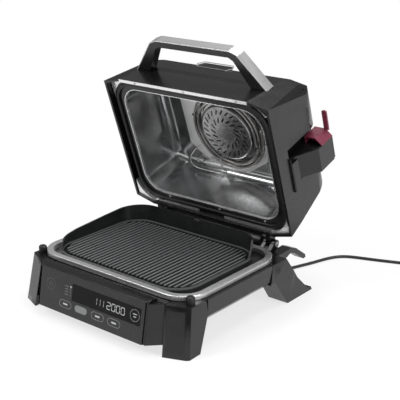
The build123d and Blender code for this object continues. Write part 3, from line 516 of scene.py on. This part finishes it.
print_low, print_high = 0.02, 0.14
key_row = 21.0
key_x = (-66.0, -23.0, 22.0, 65.0)
key_width, key_height, key_stroke = 34.0, 15.5, 1.3
key_dash = (12, 3.0)
lit_key = 1
lit_key_width, lit_key_height = 33.0, 13.5
round_radius = 12.0
power_x, power_y = -110.0, 51.0
power_stroke = 0.9
power_sign_drop = 0.5
power_sign = {"radius": 4.6, "stroke": 1.0, "start": 120, "end": 405, "steps": 19}
power_bar_up = 3.4
power_bar = (1.0, 5.0)
dial_x, dial_y = 115.0, 50.5
dial_stroke = 1.2
dial_bar_up = 2.6
dial_bar_widths, dial_bar_height = (10, 7), 1.5
digit_low, digit_high = 43.0, 56.5
digit_width = 8.4
digit_pitch = 12.2
clock_x = 44.0
mode_x, mode_pitch = 17.0, 9.0
segment = 1.25
gap_upright, gap_across = 0.9, 0.6
segment_bars = {"0": "abcdef", "1": "bc", "2": "abged"}
list_x, list_low, list_step = -66, 41, 5.6
list_line = (9, 1.3)
dot_x, dot_step = -55, 5.9
dot_size = (2.4, 2.0)
list_light = (-54.5, 58.6, 3.6, 3.4)


def digit_bars(shape, x):
    """The seven-segment bars of a digit whose left side is at x."""
    middle = (digit_low + digit_high) / 2
    upper, lower = (digit_high + middle) / 2, (digit_low + middle) / 2
    tall = (digit_high - digit_low) / 2 - segment * gap_upright
    across = {"a": digit_high, "g": middle, "d": digit_low}
    upright = {"f": (0, upper), "b": (digit_width, upper), "e": (0, lower), "c": (digit_width, lower)}
    bars = []
    for part in segment_bars[shape]:
        if part in across:
            bars.append(slab(x + digit_width / 2, across[part], digit_width - segment * gap_across, segment))
        else:
            side, height = upright[part]
            bars.append(slab(x + side, height, segment, tall))
    return bars


def make_keys():
    """The row of touch keys: three outlined ones with a dash for their word, and one lit."""
    dark_x = [x for k, x in enumerate(key_x) if k != lit_key]
    size = (key_width, key_height)
    rings = [(pill(x, key_row, *size), pill(x, key_row, *size, key_stroke)) for x in dark_x]
    on_panel(bands, "key_outlines", rings, print_grey)
    on_panel(plates, "key_dashes", [slab(x, key_row, *key_dash) for x in dark_x], lit_white)
    lit = pill(key_x[lit_key], key_row, lit_key_width, lit_key_height)
    on_panel(plates, "key_lit", [lit], key_grey)


def make_round_marks():
    """The ring and power sign at the left end, and the ring with two bars at the right end."""
    rings = [open_ring(power_x, power_y, round_radius, power_stroke)]
    rings.append(open_ring(power_x, power_y - power_sign_drop, **power_sign))
    on_panel(bands, "power_mark", rings, print_dim)
    on_panel(plates, "power_bar", [slab(power_x, power_y + power_bar_up, *power_bar)], print_dim)
    on_panel(bands, "dial_ring", [open_ring(dial_x, dial_y, round_radius, dial_stroke)], print_grey)
    wide, narrow = dial_bar_widths
    marks = [slab(dial_x, dial_y + dial_bar_up, wide, dial_bar_height)]
    marks.append(slab(dial_x, dial_y - dial_bar_up, narrow, dial_bar_height))
    on_panel(plates, "dial_marks", marks, lit_white)


def make_display():
    """The figures in the window, the list of modes and the light beside it."""
    clock = [bar for k, shape in enumerate("2000") for bar in digit_bars(shape, clock_x + digit_pitch * k)]
    on_panel(plates, "clock_digits", clock, lit_white)
    mode = [bar for k in range(3) for bar in digit_bars("1", mode_x + mode_pitch * k - digit_width)]
    on_panel(plates, "mode_digits", mode, lit_digit)
    lines = [slab(list_x, list_low + list_step * k, *list_line) for k in range(4)]
    on_panel(plates, "list_lines", lines, print_grey)
    dots = [pill(dot_x, list_low + dot_step * k, *dot_size) for k in range(3)]
    on_panel(plates, "list_dots", dots, print_grey)
    on_panel(plates, "list_light", [pill(*list_light)], lit_white)


make_keys()
make_round_marks()
make_display()


# Rim of the lid, in millimetres of the closed lid

gasket_corner_x = 147.0
gasket_front_y, gasket_back_y = -85.5, 103.0
gasket_round = 58.5
rear_corner = [(166.0, 162.4), (207.3, 149.3)]
front_corner = [(166.0, -145.4), (207.3, -134.8)]
gusset_levels = (103.0, 113.8)
corner_plate_levels = (112.6, 113.8)
corner_edge = [(165, -138.4), (168, -141.0), (197, -116.5), (194.5, -114.5)]
corner_edge_levels = (112.4, 113.8)
bar_front, bar_back = 158.2, 163.2
bar_spans = ((-160, -38), (32, 160))
bar_levels = (107.8, 113.6)
rear_clip = (-141, 160.2, 4.5, 5, 1)
rear_clip_levels = (107.9, 112.8)
front_clip = (171, -143.8, 7, 5, 1)
front_clip_levels = (99.0, 112.8)
strip_half = 166.0
strip_front, strip_back = -151.6, -145.2
strip_levels = (98.9, rim_z)
screw_x, screw_y = (-121, 10, 141), -148.4
screw_radius = 1.9
screw_levels = (98.3, 98.9)
lip_outer = (182.6, -123.6, 139.6, 46.6)
lip_wall = 1.4
lip_levels = (112.7, 118.0)


def corner_outline(side, back):
    """Between the seal's round corner and the shell's inside, left or right, at the back or front."""
    if back:
        inside = arc(gasket_corner_x, gasket_back_y, gasket_round, 10, 80)
    else:
        inside = arc(gasket_corner_x, gasket_front_y, gasket_round, -10, -80)
    return [(side * x, y) for x, y in inside + (rear_corner if back else front_corner)]


def make_rim_details():
    gussets = [corner_outline(-1, True), corner_outline(1, True)]
    on_lid(plates, "rim_corner_gussets", gussets, gusset_levels, trim_steel, "steel_trim")
    corner = [corner_outline(-1, False)]
    on_lid(plates, "rim_corner_plate", corner, corner_plate_levels, trim_steel, "steel_trim")
    on_lid(plates, "rim_corner_edge", [corner_edge], corner_edge_levels, trim_steel, "steel_trim")
    bars = [rectangle(left, bar_front, right, bar_back) for left, right in bar_spans]
    on_lid(plates, "rim_rear_bars", bars, bar_levels, satin_steel, "satin_steel")
    on_lid(plates, "rim_clip_rear", [slab(*rear_clip)], rear_clip_levels, rim_paint, "dark_frame")
    on_lid(plates, "rim_clip_front", [slab(*front_clip)], front_clip_levels, rim_paint, "dark_frame")
    strip = rectangle(-strip_half, strip_front, strip_half, strip_back)
    on_lid(plates, "rim_front_trim", [strip], strip_levels, trim_steel, "steel_trim")
    heads = [arc(x, screw_y, screw_radius, 0, 337.5, 15) for x in screw_x]
    on_lid(plates, "rim_trim_screws", heads, screw_levels, element_tube, "steel_trim")
    half, front, back, corner = lip_outer
    inner = (half - lip_wall, front + lip_wall, back - lip_wall, corner - lip_wall)
    lip = [(rounded_outline(*lip_outer), rounded_outline(*inner))]
    on_lid(bands, "opening_lip", lip, lip_levels, trim_steel, "steel_liner")


make_rim_details()


# Badge place on the lid's front, left bare

lid_front_y, lid_front_lean = -152.0, 0.146
badge_x, badge_height = -16.0, 136.0
badge_half, badge_flat, badge_tall = 47.0, 38.0, 14.0
grow_half, grow_flat = 1.2, 0.6
badge_edge_grow = (1.2, -0.6)
badge_edge_levels = (-0.6, 0.5)
badge_inlay_grow = -1.6
badge_inlay_levels = (-2.9, -1.4)


def badge_spot(x, up, out):
    """A point on the lid's front about the middle of the badge place."""
    size = math.hypot(1, lid_front_lean)
    y = lid_front_y + badge_height * lid_front_lean + (up * lid_front_lean - out) / size
    return lid_spot(badge_x + x, y, rim_z + badge_height + (up + out * lid_front_lean) / size)


def hexagon(grow):
    """The badge place's long hexagon, grown on all sides."""
    wide, flat, tall = badge_half + grow * grow_half, badge_flat + grow * grow_flat, badge_tall + grow
    return [(-wide, 0), (-flat, tall), (flat, tall), (wide, 0), (flat, -tall), (-flat, -tall)]


def make_badge():
    edge = [tuple(hexagon(grow) for grow in badge_edge_grow)]
    bands("badge_edge", edge, badge_spot, *badge_edge_levels, satin_steel, "lid", "satin_steel")
    inlay = [hexagon(badge_inlay_grow)]
    plates("badge_inlay", inlay, badge_spot, *badge_inlay_levels, rim_paint, "lid", "dark_frame")


make_badge()


# Lid shell's front corners, closed behind their facets

side_x = 213.6
crown_radius = 38.0
lid_top_z = 257.0
facet_front_y = -141.0
facet_low, facet_high = 150.0, 229.0
facet_reach = 125.0
facet_in, facet_back = 16, 17
facet_lean = lid_front_lean * facet_reach - 2
closer_front_gap, closer_side_gap, closer_least = 0.4, 0.5, 0.2
closer_depths = (1.0, 2.6)
closer_way_x, closer_way_y = 0.72, 0.68
closer_steps = 10


def closer_spots(side, z):
    """Four points of a closer at one height: near and far of the facet, outside and inside."""
    share = (z - rim_z) / facet_reach
    over = max(0.0, z - (lid_top_z - crown_radius))
    limit = side_x - crown_radius + math.sqrt(crown_radius**2 - over**2)
    front = side_x - facet_in * share + closer_front_gap
    outer = max(min(side_x, limit) - closer_side_gap, front + closer_least)
    made = []
    for x in (front, outer):
        y = facet_front_y + share * facet_lean + (x - side_x + facet_in * share) / facet_in * facet_back
        for depth in closer_depths:
            made.append(lid_spot(side * (x - depth * closer_way_x), y + depth * closer_way_y, z))
    return made


def make_corner_closers():
    """Thin strips that close the shell behind the facets on its front corners."""
    heights = [facet_low + (facet_high - facet_low) * k / closer_steps for k in range(closer_steps + 1)]
    ring = (0, 1, 3, 2)
    for side, name in ((1, "corner_closer_right"), (-1, "corner_closer_left")):
        points = [point for z in heights for point in closer_spots(side, z)]
        faces = []
        for a in range(0, 4 * closer_steps, 4):
            b = a + 4
            faces += [(a, a + 2, b + 2, b), (a + 1, a + 3, b + 3, b + 1)]
            faces += [(a, a + 1, b + 1, b), (a + 2, a + 3, b + 3, b + 2)]
        faces += [ring, tuple(4 * closer_steps + k for k in ring)]
        mesh_piece(name, points, faces, shell_paint, "lid")


make_corner_closers()


# Gap beside the smoke box, darkened with black sheets as painted shade

pocket_x, pocket_outer_x = 190.0, 212.8
pocket_front, pocket_back = -30.8, -0.6
pocket_levels = (135.4, 221.0)
shade_wall_thickness = 0.6
shade_floor_x = (190.1, 190.8)


def make_pocket_shade():
    """Black sheets on the gap's front wall and floor: painted shade standing in for the dark of the gap."""
    wall = rectangle(pocket_x, pocket_front, pocket_outer_x, pocket_front + shade_wall_thickness)
    on_lid(plates, "pocket_lining", [wall], pocket_levels, painted_shade_black, "dark_frame")
    near, far = shade_floor_x
    floor = rectangle(near, pocket_front, far, pocket_back)
    on_lid(plates, "pocket_floor", [floor], pocket_levels, painted_shade_black, "dark_frame")


make_pocket_shade()


# Handle strip

handle_levels = (160.0, 184.0)
handle_path = [(170, -140.8), (113, -212), (95, -219), (-95, -219), (-113, -212), (-170, -140.8)]
handle_round = (16.0, 22.0, 22.0, 16.0)
strip_wall = 2.6
strip_edge, strip_edge_steps, strip_edge_angle = 0.0008, 3, 50


def rounded_path(points, radii, inset, steps=5):
    """A path moved in by an inset, with its corners as arcs."""
    spots = [Vector((*p, 0)) for p in points]
    ways = [(b - a).normalized() for a, b in zip(spots, spots[1:])]
    side = [Vector((-way.y, way.x, 0)) for way in ways]
    made = [spots[0] - side[0] * inset]
    for k, radius in enumerate(radii):
        half = ways[k].angle(ways[k + 1]) / 2
        middle = (side[k] + side[k + 1]).normalized()
        center = spots[k + 1] - middle * radius / math.cos(half)
        for step in range(steps + 1):
            blend = step / steps
            out = (side[k] * (1 - blend) + side[k + 1] * blend).normalized()
            made.append(center + out * (radius - inset))
    made.append(spots[-1] - side[-1] * inset)
    return [(p.x, p.y) for p in made]


def make_handle_strip():
    """The steel strip round the handle, with rounded corners."""
    outer = rounded_path(handle_path, handle_round, 0)
    inner = rounded_path(handle_path, handle_round, strip_wall)
    count = len(outer)
    points = [lid_spot(x, y, level) for level in handle_levels for x, y in outer + inner]
    faces = []
    for a in range(count - 1):
        b = a + 1
        for one, two in ((0, count), (2 * count, 3 * count), (0, 2 * count), (count, 3 * count)):
            faces.append((a + one, b + one, b + two, a + two))
    faces += [(k, k + count, k + 3 * count, k + 2 * count) for k in (0, count - 1)]
    strip = mesh_piece("handle_strip_round", points, faces, satin_steel, "lid")
    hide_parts("handle_strip")
    round_edges(strip, strip_edge, strip_edge_steps, strip_edge_angle)
    for face in strip.data.polygons:
        face.use_smooth = True


make_handle_strip()


# Wire and bracket beside the fan

ceiling_z = 216.5
wire_z = 201.0
wire_radius = 0.0011
wire_last_step = 3
wire_route = [
    (-92, 66), (-104, 78), (-115, 91), (-120, 106), (-112, 119), (-88, 121.5), (-52, 121), (-34, 121),
]
prongs = [(-49, 90, 26), (-56, 100, 33), (-62, 110.5, 40)]
prong_width, prong_slant = 4.6, 1
bracket_x, bracket_y = -36, 100
bracket_width, bracket_length = 7, 25
bracket_levels = (209.0, 210.4)
post_y = (92, 108)
post_radius = 1.6
post_levels = (210.2, ceiling_z + 1)


def make_probe_wire():
    """The bent wire, which goes up into the ceiling at both ends."""
    (first_x, first_y), (last_x, last_y) = wire_route[0], wire_route[-1]
    route = [(first_x, first_y, ceiling_z)] + [(x, y, wire_z) for x, y in wire_route]
    route.append((last_x + wire_last_step, last_y, ceiling_z))
    wire = tube("probe_wire", [lid_spot(*point) for point in route], wire_radius, roundness=3, steps=12)
    wire.data.materials.append(trim_steel)
    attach(wire, "lid")


def make_ceiling_bracket():
    """The bracket's bright prongs and the posts that hold it."""
    bars = [slab(x, y, length, prong_width, prong_slant) for x, y, length in prongs]
    bars.append(slab(bracket_x, bracket_y, bracket_width, bracket_length))
    on_lid(plates, "ceiling_bracket", bars, bracket_levels, trim_steel, "steel_trim")
    posts = [arc(bracket_x, y, post_radius, 0, 330, 11) for y in post_y]
    on_lid(plates, "ceiling_bracket_posts", posts, post_levels, trim_steel, "steel_trim")


make_probe_wire()
make_ceiling_bracket()


# Edges of the moulded pieces

weld_distance = 0.00001
moulded_edge_steps, moulded_edge_angle = 2, 32
softened = (
    (0.0012, ("lid_shell", "handle_body", "control_housing")),
    (0.0012, sides("front_leg", "rear_leg", "side_rail", "control_cap")),
    (0.0007, ("smoke_box_housing", "smoke_cover", "smoke_lever", "side_slab", *sides("cord_hook"))),
    (0.0004, ("control_fascia", "hinge_cover")),
)


def soften_edges():
    """Small rounds on the moulded edges."""
    for width, names in softened:
        for name in names:
            weld = nodes[name].modifiers.new("weld", "WELD")
            weld.merge_threshold = weld_distance
            round_edges(nodes[name], width, moulded_edge_steps, moulded_edge_angle)


soften_edges()


# Floor

floor_half = 6.0
paper_shade, paper_rough, paper_specular = 0.93, 0.9, 0.1
shadow_near, shadow_far = 0.30, 0.75
shadow_lift = 0.72


def switch(tree, operation, a, b):
    """Combines two shader values into one."""
    node = tree.nodes.new("ShaderNodeMath")
    node.operation = operation
    link(tree, a, node.inputs[0])
    link(tree, b, node.inputs[1])
    return node.outputs[0]


def paper(name):
    """White paper: lit white where the camera looks, with the object's shadow kept close to it."""
    material, tree, shader = node_material(name)
    shader.inputs["Base Color"].default_value = (paper_shade, paper_shade, paper_shade, 1)
    shader.inputs["Roughness"].default_value = paper_rough
    shader.inputs["Specular IOR Level"].default_value = paper_specular
    white = tree.nodes.new("ShaderNodeEmission")
    white.inputs["Strength"].default_value = 1.0
    place = tree.nodes.new("ShaderNodeTexCoord")
    length = tree.nodes.new("ShaderNodeVectorMath")
    length.operation = "LENGTH"
    link(tree, place.outputs["Object"], length.inputs[0])
    away = tree.nodes.new("ShaderNodeMapRange")
    away.inputs["From Min"].default_value = shadow_near
    away.inputs["From Max"].default_value = shadow_far
    away.inputs["To Min"].default_value = shadow_lift
    link(tree, length.outputs["Value"], away.inputs["Value"])
    rays = tree.nodes.new("ShaderNodeLightPath")
    seen = switch(tree, "MAXIMUM", rays.outputs["Is Camera Ray"], rays.outputs["Is Glossy Ray"])
    share = switch(tree, "MULTIPLY", seen, away.outputs["Result"])
    mix = tree.nodes.new("ShaderNodeMixShader")
    link(tree, share, mix.inputs[0])
    link(tree, shader.outputs[0], mix.inputs[1])
    link(tree, white.outputs[0], mix.inputs[2])
    link(tree, mix.outputs[0], tree.nodes["Material Output"].inputs["Surface"])
    return material


def make_floor():
    mesh = bpy.data.meshes.new("floor")
    outline = rectangle(-floor_half, -floor_half, floor_half, floor_half)
    mesh.from_pydata([(x, y, 0) for x, y in outline], [], [(0, 1, 2, 3)])
    mesh.materials.append(paper("floor_paper"))
    floor = add("floor", mesh)


make_floor()


# Light, with places in metres and power in watts

softboxes = (
    ("key", (-1.2, -1.8, 2.4), (0, 0, 0.2), (1.4, 1.4), 48),
    ("top", (0.1, 0.6, 2.8), (0, 0, 0.2), (2.0, 1.4), 45),
    ("side", (2.5, -0.1, 1.4), (0, 0, 0.25), (1.0, 1.8), 34),
)
sky_low, sky_high = 0.03, 0.42
sky_high_at = 0.85


def make_softboxes():
    for name, place, target, (width, height), power in softboxes:
        data = bpy.data.lights.new(name, "AREA")
        data.shape = "RECTANGLE"
        data.size = width
        data.size_y = height
        data.energy = power
        lamp = add(name, data)
        lamp.location = place
        aim(lamp, target)


def make_world():
    """A sky that is dark low down and grey overhead, behind a white backdrop for the camera."""
    world = bpy.data.worlds.new("studio")
    bpy.context.scene.world = world
    world.use_nodes = True
    tree = world.node_tree
    background = tree.nodes["Background"]
    place = tree.nodes.new("ShaderNodeTexCoord")
    split = tree.nodes.new("ShaderNodeSeparateXYZ")
    sky = tree.nodes.new("ShaderNodeValToRGB")
    set_stop(sky.color_ramp.elements[0], 0.0, sky_low)
    set_stop(sky.color_ramp.elements[1], sky_high_at, sky_high)
    link(tree, place.outputs["Generated"], split.inputs[0])
    link(tree, split.outputs["Z"], sky.inputs["Fac"])
    link(tree, sky.outputs["Color"], background.inputs["Color"])
    background.inputs["Strength"].default_value = 1.0
    white = tree.nodes.new("ShaderNodeBackground")
    white.inputs["Color"].default_value = (1, 1, 1, 1)
    white.inputs["Strength"].default_value = 1.0
    rays = tree.nodes.new("ShaderNodeLightPath")
    mix = tree.nodes.new("ShaderNodeMixShader")
    link(tree, rays.outputs["Is Camera Ray"], mix.inputs["Fac"])
    link(tree, background.outputs[0], mix.inputs[1])
    link(tree, white.outputs[0], mix.inputs[2])
    link(tree, mix.outputs[0], tree.nodes["World Output"].inputs["Surface"])


make_softboxes()
make_world()
bpy.context.scene.view_settings.view_transform = "Standard"

bpy.context.view_layer.update()
